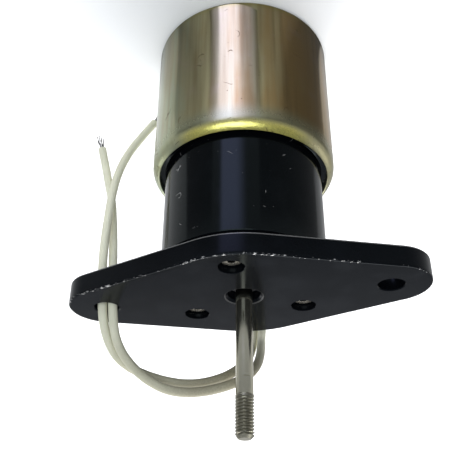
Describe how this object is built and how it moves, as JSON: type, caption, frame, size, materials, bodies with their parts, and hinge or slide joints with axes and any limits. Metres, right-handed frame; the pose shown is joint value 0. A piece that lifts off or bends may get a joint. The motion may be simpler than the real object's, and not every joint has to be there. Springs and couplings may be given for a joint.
{
  "type": "solenoid actuator",
  "caption": "Tubular solenoid actuator: plated can, black body, diamond flange, sprung threaded shaft and loose leads.",
  "frame": {"origin": "centre of the can's closed end, on the surface that the part stands on", "axes": "+Z along the shaft towards its threaded tip, X along the line of the two mounting holes, +Y towards the lead exit"},
  "size_m": [0.122, 0.0754, 0.1509],
  "materials": {
    "zinc_yellow": "yellow chromate zinc plate, iridescent",
    "black_anodise": "semi-gloss black anodise",
    "black_flange": "black anodise with bare chipped edges",
    "screw_steel": "bright zinc",
    "magnet_iron": "machined soft iron",
    "brass": "drawn brass",
    "bronze": "sintered bronze",
    "nylon": "moulded nylon",
    "copper": "enamelled winding wire",
    "tape": "polyester tape",
    "spring_steel": "drawn wire",
    "polished_steel": "polished stainless",
    "black_rubber": "moulded rubber",
    "lead_insulation": "matt silicone rubber",
    "splice_sleeve": "crimp sleeve",
    "tinned_copper": "tinned strands"
  },
  "bodies": {
    "housing": {"case_can": "zinc_yellow", "neck_body": "black_anodise", "mounting_flange": "black_flange", "flange_screws": "screw_steel", "rear_pole": "magnet_iron", "front_pole": "magnet_iron", "guide_tube": "brass", "bobbin": "nylon", "coil": "copper", "coil_tape": "tape", "residual_shim": "brass", "return_spring": "spring_steel", "stop_bumper": "black_rubber", "front_bush": "bronze", "shaft_seal": "black_rubber", "lead_grommet": "black_rubber", "lead_tails": "lead_insulation", "lead_splices": "splice_sleeve", "coil_ends": "copper", "lead_a": "lead_insulation", "lead_b": "lead_insulation", "lead_a_strands": "tinned_copper", "lead_b_strands": "tinned_copper"},
    "armature": {"plunger": "magnet_iron", "plunger_pin": "spring_steel", "shaft": "polished_steel"}
  },
  "joints": [
    {"name": "plunger_slide", "type": "slide", "parent": "housing", "child": "armature", "axis": [0, 0, 1], "range_m": [-0.012, 0], "stiffness_N_per_m": 1500, "springref_m": 0.008, "deforming": ["return_spring"]}
  ]
}
